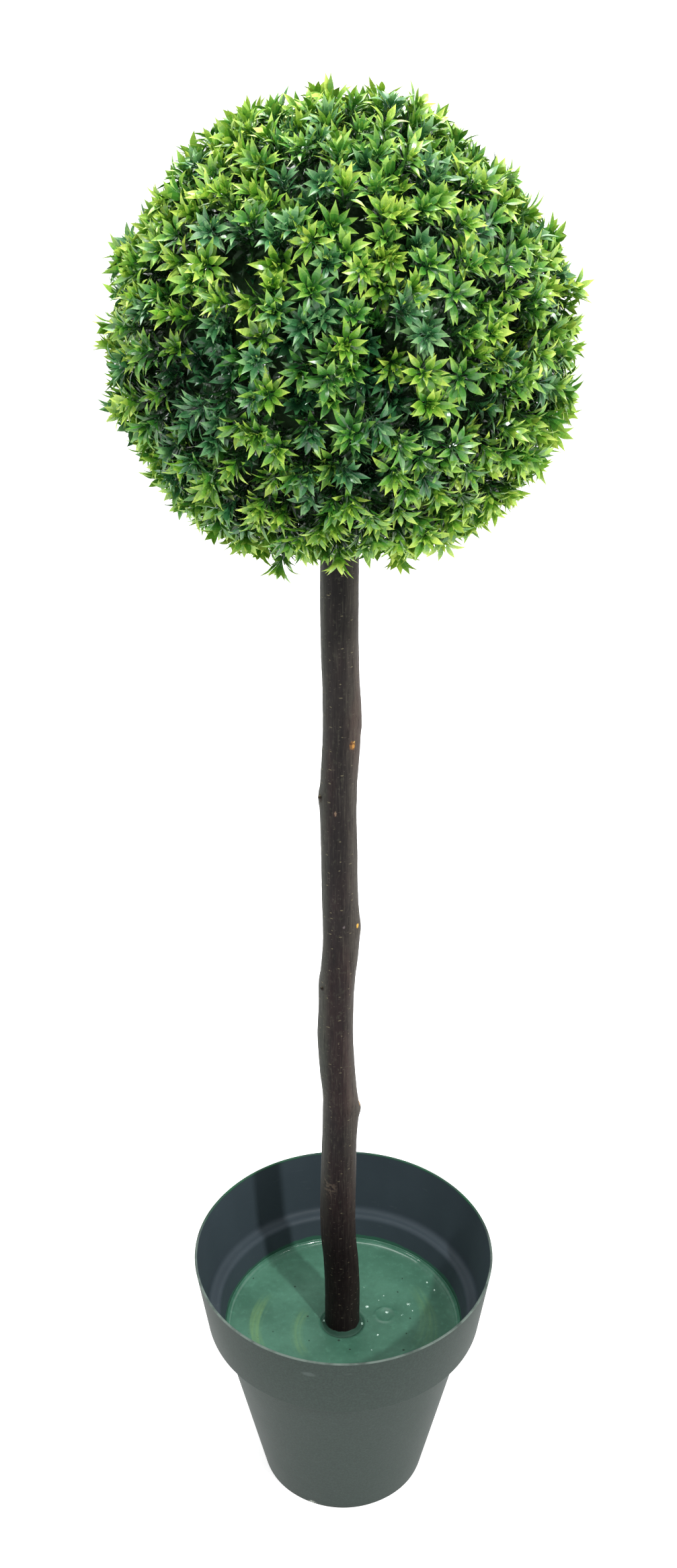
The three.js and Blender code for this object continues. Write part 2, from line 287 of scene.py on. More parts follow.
def pot_finish():
    """Matt plastic: pale scuffs, dust, patches darker at the foot, green paint on its edge and
    inside, and painted light: a bluer inside, a near-rim highlight, a collar sheen.
    """
    finish = Finish("pot_plastic", specular_ior_level=0.15)
    coat, grain, step = finish.coat, finish.grain, finish.step
    place = finish.place()
    x, y, z = finish.axes(place)
    out = finish.length(finish.joined(x, y, 0.0))
    cloudy = grain(place, 14, 4)
    speckle = grain(place, 420, 2)
    scuffed = step(grain(place, 1, 5, stretch=(60, 60, 240)), 0.63, 0.74)
    in_collar = out - (z - collar_foot) * collar_slope - POT_COLLAR_FOOT
    inner_wall = step(in_collar, -1.6 * MM, -2.4 * MM)
    below = step(z, collar_foot + 1 * MM, collar_foot - 1 * MM)
    in_body = out - z * body_slope - POT_BASE
    outside = step(in_body, -2.1 * MM, -1.1 * MM)
    outer = below * outside + (1 - below) * (1 - inner_wall)
    body = finish.blend(cloudy, paint(38, 49, 45), paint(46, 57, 52))
    # Painted light: the inside is given a lighter, bluer tone than the outside, standing in for the
    # light in the pot's hollow.
    inside = finish.blend(cloudy, paint(45, 54, 60), paint(54, 64, 70))
    finish.colour = finish.blend(outer, inside, body)
    mottle = grain(place, 460, 4, 0.7)
    coat(step(mottle, 0.45, 0.65) * 0.3 * outer, (58, 72, 66))
    coat(step(mottle, 0.5, 0.32) * 0.3 * outer, (30, 38, 36))
    # Darker in patches along the bottom 5 mm of the pot.
    foot_darkening = step(z, 5 * MM, 1 * MM) * step(grain(place, 90, 4), 0.42, 0.62)
    coat(foot_darkening * 0.6, (38, 32, 28))
    chip = finish.near(place, CHIP_PLACE, 5 * MM, (0.7, 1, 1.4)) * step(mottle, 0.4, 0.52)
    coat(chip * 0.8, (170, 176, 166))
    coat(scuffed * 0.035, (140, 150, 145))
    coat(step(speckle, 0.7, 0.8) * 0.1, (130, 138, 134))
    wavy = grain(place, 26, 3) * 9 * MM
    above_fill = z - wavy - CEMENT_LEVEL
    film = step(above_fill, 0.2 * MM, -1.6 * MM) * (1 - outer)
    coat(film, (44, 82, 66))
    # Partly wear and partly painted sheen: a rubbed mark on the collar is drawn lighter, as if it
    # shone.
    rubbed_sheen = finish.near(place, RUBBED_SHEEN_PLACE, 8 * MM, (0.8, 1, 1.8))
    coat(rubbed_sheen * 0.14, (120, 132, 128))
    from_rim = z - POT_HEIGHT
    patchy = step(grain(place, 45, 3), 0.38, 0.62)
    rim_back = step(from_rim, -2.2 * MM, -0.8 * MM) * step(y, 0.02, 0.08)
    coat(rim_back * (0.3 + patchy * 0.5), RIM_BACK_PAINT)
    # Painted highlight: the near half of the rim's edge is made paler, as if it caught the light.
    rim_front_highlight = step(from_rim, -1.3 * MM, -0.6 * MM) * step(y, 0.07, -0.03)
    coat(rim_front_highlight * (0.2 + patchy * 0.4), RIM_FRONT_HIGHLIGHT)
    finish.feed("Base Color", finish.colour)
    finish.feed("Roughness", 0.5 - film * 0.25 + cloudy * 0.12)
    finish.relief(speckle + cloudy * 2, 0.12 * MM, 0.5)
    return finish


def make_pot():
    corners = (
        (0, 0, 0),
        (POT_BASE, 0, 1.6 * MM),
        (POT_BODY_TOP, collar_foot, 1.2 * MM),
        (POT_COLLAR_FOOT, collar_foot, 0.9 * MM),
        (POT_RIM, POT_HEIGHT, 1.0 * MM),
        (POT_RIM - POT_WALL, POT_HEIGHT, 1.0 * MM),
        (collar_radius(step_top) - POT_WALL, step_top, 7 * MM),
        (body_radius(step_top) - POT_WALL, step_top - 0.5 * MM, 5 * MM),
        (body_radius(POT_FLOOR) - POT_WALL, POT_FLOOR, 5 * MM),
        (0, POT_FLOOR, 0),
    )

    def sway(turn, height):
        share = height / POT_HEIGHT
        return 0.25 * MM * share * math.sin(3 * turn + 0.6) + 0.12 * MM * math.sin(7 * turn)

    points, faces = turned(rounded(corners, 7), POT_SIDES, sway)
    pot = make_piece("pot_shell", points, faces, [pot_finish()], "pot_plastic")
    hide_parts("pot")


# ---- stick ----

STICK_SIDES = 56
STICK_STEP = 2.4 * MM
STICK_RADIUS = 17.5 * MM  # about halfway up
STICK_OFFSET = 4 * MM  # of its middle, to the left of the pot's axis
CAD_SIDES = 12
BARK_SEED = 4.0
STUB_SIDES = 9
STUBS = ((879, 203, 1.2 * MM), (661, 214, 1.1 * MM))  # height, turn in degrees, and size

# Bare and healed places: height, turn in degrees, reach, how far they are squashed or stretched
# in height, and colour. Heights and reaches are in millimetres.
CUTS = (
    (937, -57, 4.0, 0.8, (112, 78, 42)),
    (936, -54, 2.0, 0.9, (170, 122, 60)),
    (939, -62, 1.6, 1.0, (66, 42, 26)),
    (940, -51, 1.3, 1.2, (176, 140, 78)),
    (867, -99, 2.3, 0.7, (44, 30, 26)),
    (867.5, -98, 1.4, 0.5, (112, 94, 78)),
    (735, -33, 2.2, 0.85, (206, 160, 66)),
    (738, -80, 1.7, 1.0, (92, 84, 84)),
    (509, -7, 2.1, 0.3, (190, 140, 72)),
    (497, -8, 2.4, 0.8, (16, 11, 10)),
    (878, 203, 4.0, 0.9, (30, 22, 16)),
    (879, 200, 1.7, 0.8, (112, 100, 56)),
    (661, 214, 3.0, 0.9, (26, 19, 15)),
    (662, 212, 1.1, 0.9, (84, 74, 52)),
)


def stick_rings():
    """The CAD stick's rings: heights, middles, and radii at even turns from +X."""
    corners = np.array([tuple(v.co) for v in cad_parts["trunk"].data.vertices])
    heights = np.unique(corners[:, 2].round(5))
    middles = []
    radii = []
    for height in heights:
        ring = np.unique(corners[abs(corners[:, 2] - height) < 1e-5].round(6), axis=0)
        apart = ring[:, :2] - ring[:, :2].mean(0)
        ring = ring[np.hypot(*apart.T) > 5 * MM]
        apart = ring[:, :2] - ring[:, :2].mean(0)
        ring = ring[np.argsort(np.arctan2(apart[:, 1], apart[:, 0] + 1e-9) % (2 * math.pi - 0.1))]
        middle = np.array(((ring[3, 0] + ring[9, 0]) / 2, (ring[0, 1] + ring[6, 1]) / 2))
        middles.append(middle)
        radii.append(np.hypot(*(ring[:, :2] - middle).T))
    return heights, np.array(middles), np.array(radii)


def eased(at, heights, values):
    """A smooth line through values given at some heights."""
    slopes = np.gradient(values, heights, axis=0)
    after = np.clip(np.searchsorted(heights, at), 1, len(heights) - 1)
    span = heights[after] - heights[after - 1]
    share = ((at - heights[after - 1]) / span)[:, None]
    span = span[:, None]
    start, end = values[after - 1], values[after]
    leave, reach = slopes[after - 1] * span, slopes[after] * span
    return (
        (2 * share**3 - 3 * share**2 + 1) * start
        + (share**3 - 2 * share**2 + share) * leave
        + (3 * share**2 - 2 * share**3) * end
        + (share**3 - share**2) * reach
    )


stick_heights, stick_middles, stick_radii = stick_rings()


def stick_section(heights):
    """Middles and radii of the smooth stick at some heights, one row for each."""
    middles = eased(heights, stick_heights, stick_middles)
    waves = np.fft.rfft(stick_radii, axis=1) / CAD_SIDES
    turns = 2 * math.pi * np.arange(STICK_SIDES) / STICK_SIDES
    parts = eased(heights, stick_heights, np.concatenate((waves.real, waves.imag), axis=1))
    real, imag = np.split(parts, 2, axis=1)
    radii = real[:, :1] * np.ones(STICK_SIDES)
    for order in range(1, waves.shape[1] - 1):
        radii = radii + 2 * real[:, order, None] * np.cos(order * turns)
        radii = radii - 2 * imag[:, order, None] * np.sin(order * turns)
    return middles, radii, turns


def bark_relief(turn, height):
    """How far the bark stands out or in: long low ridges, then small bumps."""
    around = Vector((math.cos(turn), math.sin(turn), 0))
    ridge = noise.noise(around * 2.6 + Vector((0, 0, height * 9 + BARK_SEED)))
    wrinkle = noise.noise(around * 9 + Vector((0, 0, height * 34)))
    bump = noise.noise(around * 6 + Vector((0, 0, height * 190)))
    return 0.45 * MM * ridge + 0.28 * MM * wrinkle + 0.16 * MM * bump


def bark_place(height, degrees):
    """A point of the stick's surface, from its height and its turn from +X."""
    middles, radii, turns = stick_section(np.array([height * MM]))
    turn = math.radians(degrees)
    reach = float(np.interp(turn % (2 * math.pi), turns, radii[0]))
    return (
        float(middles[0][0]) + reach * math.cos(turn),
        float(middles[0][1]) + reach * math.sin(turn),
        height * MM,
    )


def bark_finish():
    """Dark young bark: fine upright grain, dull pores, knots, cuts and a scuff, with painted sheen
    making its sides lighter and greyer, and painted shade under the ball.
    """
    finish = Finish("bark", specular_ior_level=0.13)
    coat, grain, step = finish.coat, finish.grain, finish.step
    place = finish.place()
    x, y, z = finish.axes(place)
    turn = finish.sum("ARCTAN2", x + STICK_OFFSET, 0 - y)
    around = turn * STICK_RADIUS
    wander = grain(place, 300, 2) * 3 * MM
    flat = finish.joined(around + wander, z + wander * 0.5, 0.0)
    strands = grain(place, 620, 4, 0.6, (1, 1, 0.05))
    fibres = grain(place, 1300, 2, 0.5, (1, 1, 0.03))
    broad = grain(place, 55, 3, stretch=(1, 1, 0.16))
    mottle = grain(place, 260, 4, 0.6, (1, 1, 0.7))
    low = step(z, 0.53, 0.3)
    upper = step(z, 0.78, 1.06)
    finish.colour = finish.blend(broad, paint(15, 12, 13), paint(33, 28, 28))
    coat(upper * 0.3, (48, 44, 42))
    # Painted sheen: the stick's left and right sides are made lighter and greyer, as if lit from
    # the sides.
    across = (x + STICK_OFFSET) / STICK_RADIUS
    right = step(across + (strands - 0.5) * 0.6, 0.05, 1.0) * (1 - low * 0.8)
    left = step(across + (strands - 0.5) * 0.5, -0.5, -1.0) * (1 - low * 0.8)
    reddish = step(grain(place, 30, 2, stretch=(1, 1, 0.3)), 0.42, 0.66)
    coat(reddish * (right * 0.5 + 0.2), (54, 28, 29))
    coat(low * 0.7, (19, 11, 12))
    # Painted shade: the stick is darkened just under the ball.
    coat(step(z, 0.99, 1.1) * 0.6, (9, 8, 8))
    coat(left * 0.4, (72, 78, 68))
    coat(right * 0.5, (86, 80, 72))
    light = step(strands, 0.54, 0.72) * (0.2 - low * 0.12)
    coat(light, (92, 90, 78))
    coat(step(strands, 0.47, 0.3) * 0.6, (10, 8, 8))
    coat(step(fibres, 0.56, 0.7) * 0.12, (92, 86, 76))
    patches = step(mottle, 0.55, 0.72) * (0.27 - low * 0.14)
    coat(patches, (76, 78, 64))
    coat(step(mottle, 0.46, 0.34) * 0.2, (12, 10, 12))
    pores = pore_mask(finish, flat, 92, 1.35 * MM, 0.66 * MM, 0.36)
    crowded = step(z, 0.275, 0.235) * step(x, -0.002, 0.008)
    more_pores = pore_mask(finish, flat, 210, 0.9 * MM, 0.42 * MM, 0.24) * (0.3 + crowded * 0.7)
    coat(pores * (0.42 - low * 0.1), (130, 124, 100))
    coat(more_pores * 0.5, (122, 114, 102))
    ragged = (grain(place, 700, 4, 0.7) - 0.5) * 1.6
    for height, degrees, reach, squash, shade in CUTS:
        apart = finish.vector("SUBTRACT", place, bark_place(height, degrees))
        apart = finish.vector("MULTIPLY", apart, (1.2, 1, squash))
        gap = finish.length(apart) / (reach * MM) + ragged
        mask = step(gap, 1.0, 0.7)
        coat(mask * 0.92, shade)
    scuff = finish.near(place, bark_place(408, -124), 14 * MM, (1.2, 1, 0.7))
    scuff = scuff * step(grain(place, 260, 4), 0.48, 0.62)
    coat(scuff * 0.3, (104, 92, 78))
    finish.feed("Base Color", finish.colour)
    finish.feed("Roughness", 0.68 - broad * 0.16 + pores * 0.2)
    grain = strands * 0.6 + fibres * 0.3 + broad * 0.5
    finish.relief(grain + pores * 0.8 + more_pores * 0.5, 0.55 * MM, 0.9)
    return finish


def pore_mask(finish, flat, spacing, half_length, half_height, share):
    """Short level dashes, one at most in each cell, in the given share of the cells."""
    inputs = {"Vector": flat, "Scale": spacing, "Randomness": 1.0}
    settings = {"voronoi_dimensions": "2D"}
    cell = finish.node("TexVoronoi", settings, inputs, "Position")
    chance = finish.axes(finish.node("TexVoronoi", settings, inputs, "Color"))
    apart = finish.vector("SUBTRACT", flat, cell)
    longer = chance[1] * 0.9 + 0.55
    across, up, _ = finish.axes(apart)
    oval = finish.joined(across / (longer * half_length), up / half_height, 0.0)
    dash = finish.step(finish.length(oval), 1.15, 0.7)
    return dash * finish.step(chance[0], share, share - 0.02)


def stub_points(height, degrees, size):
    """A broken twig's stub: a short ragged cup that leaves the bark and leans up a little."""
    foot = Vector(bark_place(height, degrees))
    turn = math.radians(degrees)
    way = Vector((math.cos(turn), math.sin(turn), 0.35)).normalized()
    first = way.cross(Vector((0, 0, 1))).normalized()
    second = way.cross(first)
    points = []
    for reach, wide in ((-1.6, 1.5), (0.6, 1.0), (1.5, 0.85), (0.9, 0.5)):
        for side in range(STUB_SIDES):
            angle = 2 * math.pi * side / STUB_SIDES
            ragged = 0.75 * math.sin(side * 2.6 + height) if reach > 1 else 0
            out = foot + way * (reach + ragged) * size
            points.append(out + (first * math.cos(angle) + second * math.sin(angle)) * wide * size)
    faces = tube_faces(4, STUB_SIDES)
    faces.append(tuple(range(3 * STUB_SIDES, 4 * STUB_SIDES)))
    return points, faces


def make_stick():
    foot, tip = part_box("trunk")[0].z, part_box("trunk")[1].z
    heights = np.linspace(foot, tip, int((tip - foot) / STICK_STEP) + 1)
    middles, radii, turns = stick_section(heights)
    points = []
    for height, middle, reaches in zip(heights, middles, radii, strict=True):
        for turn, reach in zip(turns, reaches, strict=True):
            out = reach + bark_relief(turn, height)
            x, y = middle[0] + out * math.cos(turn), middle[1] + out * math.sin(turn)
            points.append((x, y, height))
    faces = tube_faces(len(heights), STICK_SIDES)
    faces.append(tuple(range(STICK_SIDES))[::-1])
    faces.append(tuple(range(len(points) - STICK_SIDES, len(points))))
    for stub in STUBS:
        start = len(points)
        corners, sides = stub_points(*stub)
        points.extend(tuple(corner) for corner in corners)
        faces.extend(tuple(start + corner for corner in face) for face in sides)
    stick = make_piece("bark_stick", points, faces, [bark_finish()], "bark")
    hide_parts("trunk")


# ---- cement ----

CEMENT_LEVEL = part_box("cement")[1].z
CEMENT_DIP = 4 * MM  # how far the middle of the fill lies under its raised edge
CEMENT_GAP = 0.15 * MM  # between the fill and the pot's wall
BEAD_SINK = 0.3 * MM
CEMENT_TURNS = 320
CEMENT_STEPS = 90
CEMENT_FOOT = 160 * MM  # its sides are hidden, so the visual fill ends here
RING_MARK = Vector((47, 12)) * MM
RING_MARK_SIZE = 10.5 * MM

# Curved brush marks: their middle, their reach, the side they lie on, and how strong they are.
BRUSH_MARKS = (
    ((-20, 0), 80, -1, 0.42),
    ((-6, -10), 92, -1, 0.34),
    ((10, -14), 62, -1, 0.34),
    ((8, 10), 84, 1, 0.2),
    ((0, -6), 100, 1, 0.18),
)

# Beads of dried paint and grit: place on the fill and size, in millimetres.
BEADS = (
    (24, 54, 1.3),
    (49, 16, 2.0),
    (27, 24, 2.1),
    (74, 28, 2.5),
    (38, -18, 1.5),
    (46, 41, 1.0),
    (66, 12, 1.5),
    (20.5, 1, 1.9),
    (-21.5, 3, 1.7),
    (40, 34, 0.9),
    (31, -40, 0.9),
    (78, 18, 1.0),
    (96, 62, 1.3),
    (104, 50, 1.4),
)

# Pits in the fill, darkened with painted shade, the same way.
PITS = (
    (-103, 68, 1.1),
    (-55, 55, 1.4),
    (-40, 10, 1.5),
    (-78, -13, 1.0),
    (-5, -26, 1.7),
    (7, -39, 1.3),
    (-38, -26, 1.2),
    (62, 47, 1.1),
    (68, 68, 1.0),
    (75, 7, 1.2),
    (70, -16, 1.0),
    (66, -40, 1.5),
    (27, 2, 1.0),
)


def fill_height(x, y, from_stick, from_wall):
    """The painted surface: drawn up at the pot and the stick, with a groove and a ring mark."""
    height = CEMENT_LEVEL - CEMENT_DIP
    height += 4.6 * MM * hump(from_wall, 2.3 * MM, 1)
    height += 3.4 * MM * hump(from_stick + 0.4 * MM, 1.7 * MM)
    height -= 2.6 * MM * hump(from_stick - 3.9 * MM, 2.1 * MM)
    from_mark = (Vector((x, y)) - RING_MARK).length
    height += 0.8 * MM * hump(from_mark - RING_MARK_SIZE, 1.5 * MM)
    height -= 0.6 * MM * hump(from_mark, 8 * MM, 4)
    swirl = noise.noise(Vector((x * 22, y * 22, 1.5)))
    ripple = noise.noise(Vector((x * 90, y * 90, 7.5)))
    return height + 0.5 * MM * swirl + 0.12 * MM * ripple


def cement_finish():
    """Glossy green floor paint: brush marks, pits and grit, with painted shade in the pits and in
    the groove round the stick.
    """
    finish = Finish("painted_cement", specular_ior_level=0.3)
    coat, grain, step = finish.coat, finish.grain, finish.step
    place = finish.place()
    x, y, _ = finish.axes(place)
    cloudy = grain(place, 16, 4)
    patchy = step(cloudy, 0.3, 0.7)
    finish.colour = finish.blend(patchy, paint(52, 91, 74), paint(67, 110, 91))
    for middle, reach, side, strength in BRUSH_MARKS:
        apart = finish.joined(x - middle[0] * MM, y - middle[1] * MM, 0.0)
        out = finish.length(apart)
        sideways = finish.axes(apart)[0] / out * side
        band = finish.near(finish.joined(out, 0.0, 0.0), (reach * MM, 0, 0), 9 * MM)
        hairs = grain(finish.joined(out * 260, sideways * 3, reach), 1, 2)
        mark = band * step(hairs, 0.3, 0.75) * step(sideways, 0.78, 0.99)
        coat(mark * strength, (112, 146, 84))
    mottle = grain(place, 150, 4, 0.65)
    coat(step(mottle, 0.5, 0.72) * 0.3, (50, 86, 68))
    coat(step(mottle, 0.48, 0.3) * 0.25, (84, 134, 112))
    pits = speck_mask(finish, place, 62, 1.0 * MM, 0.06)
    grit = speck_mask(finish, place, 190, 0.6 * MM, 0.14)
    ragged = grain(place, 900, 2) * 2.4 * MM - 1.2 * MM
    for across, along, reach in PITS:
        apart = finish.joined(x - across * MM, y - along * MM, 0.0)
        gap = finish.length(apart) + ragged
        pits = pits + step(gap, reach * MM, reach * 0.5 * MM)
    pits = finish.sum("MINIMUM", pits, 1.0)
    middles, radii, _ = stick_section(np.array([CEMENT_LEVEL]))
    apart = finish.joined(x - float(middles[0][0]), y - float(middles[0][1]), 0.0)
    from_stick = finish.length(apart) - float(radii.mean())
    groove = step(from_stick, 6 * MM, 3.4 * MM)
    # Painted shade: the groove round the stick is darkened.
    coat(groove * 0.7, (28, 52, 42))
    coat(grit * 0.7, (36, 54, 46))
    # Painted shade: the pits are darkened.
    coat(pits * 0.85, (24, 38, 30))
    finish.feed("Base Color", finish.colour)
    out = finish.length(finish.joined(x, y, 0.0))
    wall = body_radius(CEMENT_LEVEL) - POT_WALL
    edge = step(out, wall - 7 * MM, wall - 4 * MM)
    finish.feed("Roughness", 0.3 + cloudy * 0.2 + pits * 0.4 + groove * 0.3 - edge * 0.24)
    finish.relief(grain(place, 130, 3) * 0.4 - pits * 1.4 - grit, 0.35 * MM, 0.7)
    return finish


def speck_mask(finish, place, spacing, reach, share):
    """Round specks of mixed sizes in the given share of the cells."""
    inputs = {"Vector": place, "Scale": spacing, "Randomness": 1.0}
    gap = finish.node("TexVoronoi", {}, inputs, "Distance") / spacing
    chance = finish.axes(finish.node("TexVoronoi", {}, inputs, "Color"))
    size = chance[1] * reach * 0.8 + reach * 0.3
    return finish.step(gap / size, 1.0, 0.6) * finish.step(chance[0], share, share - 0.01)


def make_cement():
    """The fill's surface from the stick to the pot, with sides and an underside, and its beads."""
    middles, rows, _ = stick_section(np.array([CEMENT_LEVEL]))
    middle = middles[0]
    radii = np.interp(
        np.arange(CEMENT_TURNS) / CEMENT_TURNS,
        np.arange(STICK_SIDES + 1) / STICK_SIDES,
        np.append(rows[0], rows[0, 0]),
    )
    edge = body_radius(CEMENT_LEVEL) - POT_WALL - CEMENT_GAP
    points = []
    for step in range(CEMENT_STEPS + 1):
        share = step / CEMENT_STEPS
        share = share - 0.7 * math.sin(2 * math.pi * share) / (2 * math.pi)
        for side in range(CEMENT_TURNS):
            turn = 2 * math.pi * side / CEMENT_TURNS
            way = np.array((math.cos(turn), math.sin(turn)))
            inner = middle + way * (radii[side] - 0.4 * MM)
            place = inner + (way * edge - inner) * share
            from_stick = float(np.hypot(*(place - inner)))
            from_wall = edge - float(np.hypot(*place))
            points.append((*place, fill_height(*place, from_stick, from_wall)))
    lower = len(points)
    foot_edge = body_radius(CEMENT_FOOT) - POT_WALL - CEMENT_GAP
    for side in range(CEMENT_TURNS):
        turn = 2 * math.pi * side / CEMENT_TURNS
        points.append((foot_edge * math.cos(turn), foot_edge * math.sin(turn), CEMENT_FOOT))
    faces = tube_faces(CEMENT_STEPS + 2, CEMENT_TURNS)
    faces.append(tuple(range(lower, lower + CEMENT_TURNS))[::-1])
    fill = make_piece("cement_fill", points, faces, [cement_finish()], "painted_cement")
    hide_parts("cement")
    make_beads(middle, float(radii.mean()), edge)


def make_beads(middle, stick_radius, edge):
    """The beads, each sunk a little into the fill."""
    points = []
    faces = []
    for x, y, size in BEADS:
        start = len(points)
        place = Vector((x, y)) * MM
        from_stick = (place - Vector(middle)).length - stick_radius
        level = fill_height(*place, from_stick, edge - place.length) - BEAD_SINK
        dome, quads = bead(Vector((*place, level)), size * MM)
        points.extend(dome)
        faces.extend(tuple(start + corner for corner in quad) for quad in quads)
    make_piece("paint_beads", points, faces, [bead_finish()], "painted_cement")


def bead(middle, size, rings=6, sides=14):
    """A low dome of dried paint."""
    points = []
    for ring in range(rings):
        rise = math.pi / 2 * ring / rings
        for side in range(sides):
            turn = 2 * math.pi * side / sides
            out = size * math.cos(rise) * (1 + 0.12 * math.sin(2 * turn + size * 4e3))
            x, y = middle.x + out * math.cos(turn), middle.y + out * math.sin(turn)
            points.append((x, y, middle.z + size * 0.6 * math.sin(rise)))
    faces = tube_faces(rings, sides)
    top = len(points)
    points.append((middle.x, middle.y, middle.z + size * 0.6))
    for side in range(sides):
        start = (rings - 1) * sides
        faces.append((start + side, start + (side + 1) % sides, top))
    return points, faces


def bead_finish():
    finish = Finish("paint_bead", specular_ior_level=0.6)
    cloudy = finish.grain(finish.place(), 420, 2)
    # Pale patches on the beads: partly pale grit and partly painted highlight.
    pale = finish.step(cloudy, 0.42, 0.62)
    finish.feed("Base Color", finish.blend(pale, paint(68, 112, 93), paint(188, 214, 202)))
    finish.feed("Roughness", 0.14 + cloudy * 0.1)
    return finish


# ---- ball core ----


def core_finish():
    """Dark green moulded shell, nearly black in the depth of the leaves."""
    finish = Finish("core_plastic", specular_ior_level=0.2)
    place = finish.place()
    cloudy = finish.grain(place, 60, 4)
    finish.feed("Base Color", finish.blend(cloudy, paint(28, 46, 26), paint(46, 74, 42)))
    finish.feed("Roughness", 0.7 + cloudy * 0.2)
    finish.relief(finish.grain(place, 240, 3), 1.2 * MM)
    return finish


def dress_core():
    finish = core_finish()
    for node in ("core_lower", "core_upper"):
        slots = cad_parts[node].material_slots
        for slot in slots:
            slot.material = finish.material


# ---- leaves ----

SEED = 7
ROSETTES = 1000
ROSETTE_SINK = 17.0 * MM  # from the clipped outline down to a rosette's middle
DEEP_SHARE = 0.3  # of the rosettes, which sit deeper, by up to the sink below
DEEP_SINK = 20 * MM
DIM_SINK = 42 * MM  # of the dim rosettes
PARTING_SINK = 55 * MM  # of the darkest ones, down on the core where the others part
STEM_ROOT = 147 * MM  # from the ball's middle, inside the core
STEM_RADIUS = 0.75 * MM
LEAF_LENGTH = 22.2 * MM
LEAF_WIDTH = 5.7 * MM  # across the blade
SHADES = 12  # plain colours in each tint, from its leaves' roots to their tips
GOLDEN_TURN = math.pi * (3 - math.sqrt(5))
STICK_CLEARANCE = 32 * MM  # under the ball, no rosette stands closer to the stick's line
DIM_PAINTED_SHADE = -0.28  # painted shade: how much darker dim rosettes are, in shares of the shades
PARTING_PAINTED_SHADE = -0.6

# How the rosettes differ: the spread of a measure, or its least and its greatest value.
SHAKE = 0.032  # of a rosette's direction
SINK_SPREAD = 3.2 * MM
ROSETTE_SIZES = (0.88, 1.1)
STEM_LEAN = 0.24
STEM_DROOP = 0.1
UNDER_DROOP = 0.16  # what the underside adds
OPENING_SPREAD = 9  # degrees, as the next two
LEAN_SPREAD = 10
BEND_SPREAD = 18
TURN_SPREAD = 0.13  # radians, as the next one
TWIST_SPREAD = 0.3
ROOT_SPREAD = 0.8  # millimetres along the stem
LEAF_LENGTHS = (0.8, 1.12)
LEAF_WIDTHS = (0.8, 1.14)
LEAF_FOLDS = (0.16, 0.62)
SHADE_SPREAD = 0.11
SHADE_CHANGE = -0.02
RIM_LIGHT = 0.09  # how much lighter a leaf's rim is
FRESH_AND_LIGHT_WARMTH = 2  # how far lighter rosettes (fresh leaves and painted light) and those on the underside tend to the first tints
UNDER_WARMTH = 0.3

# Places where the rosettes part and only the darkest ones lie on the core, with painted shade:
# direction from the ball's middle, and how wide in degrees.
PARTINGS = (
    ((-0.404, -0.730, 0.552), 6.5),
    ((-0.742, -0.670, -0.006), 6.0),
    ((-0.662, -0.736, 0.139), 4.5),
    ((0.18, -0.98, 0.07), 3.5),
    ((0.30, 0.90, 0.31), 6.5),
    ((-0.55, 0.80, -0.24), 6.0),
    ((0.93, 0.30, 0.20), 6.0),
    ((-0.95, 0.25, 0.15), 5.5),
    ((0.10, 0.60, 0.79), 5.5),
)

# Places where only dim rosettes lie, deep between the others and with painted shade, the same way.
DIM_PLACES = (
    ((-0.742, -0.670, -0.006), 8.5),
    ((-0.62, -0.77, 0.14), 7.5),
    ((-0.16, -0.98, 0.0), 5.0),
    ((0.18, -0.98, 0.07), 6.5),
    ((0.13, -0.94, 0.3), 4.5),
    ((-0.24, -0.94, 0.24), 5.0),
    ((-0.45, -0.88, 0.1), 5.5),
    ((0.12, -0.92, -0.37), 4.5),
    ((0.5, -0.86, -0.1), 4.5),
    ((-0.4, -0.85, -0.34), 5.0),
    ((0.62, 0.77, -0.1), 6.0),
    ((-0.3, 0.95, 0.1), 6.0),
)

# Places where the leaves lie further in, or out where the depth is negative: direction, depth,
# and how wide in degrees.
HOLLOWS = (
    ((0.0, -0.42, -0.9), 34 * MM, 14),
    ((-0.25, -0.48, -0.84), -14 * MM, 10),
    ((-0.46, -0.44, -0.77), 8 * MM, 8),
)

# Places with lighter leaves and with darker ones, from fresher and older leaves and from painted
# light and shade: direction, change, degrees wide.
FRESH_AND_PAINTED_LIGHT = (
    ((0.93, -0.3, 0.1), 0.1, 28),
    ((0.62, -0.3, -0.7), 0.1, 24),
    ((-0.66, -0.25, 0.7), 0.12, 26),
    ((0.35, 0.1, 0.93), 0.08, 30),
    ((-0.05, 0.5, 0.86), 0.18, 24),
    ((0.1, -0.6, -0.8), 0.04, 26),
    ((-0.98, -0.15, 0.1), 0.1, 14),
    ((-0.15, -0.98, 0.05), -0.06, 24),
    ((-0.7, -0.7, 0.05), -0.1, 16),
    ((-0.43, -0.85, 0.3), 0.16, 8),
    ((0.1, -0.7, 0.7), 0.13, 13),
    ((0.4, -0.86, 0.3), 0.1, 9),
)

# The colours of a tint at a leaf's root, middle and tip, and the tint's share of the rosettes.
TINTS = {
    "lime": ((38, 96, 34), (98, 154, 42), (196, 220, 94), 0.37),
    "green": ((30, 86, 34), (70, 134, 44), (162, 200, 82), 0.35),
    "blue_green": ((24, 74, 42), (60, 118, 68), (134, 178, 112), 0.28),
}
LOWER_TINT = ((20, 50, 22), (38, 84, 32), (90, 134, 48))

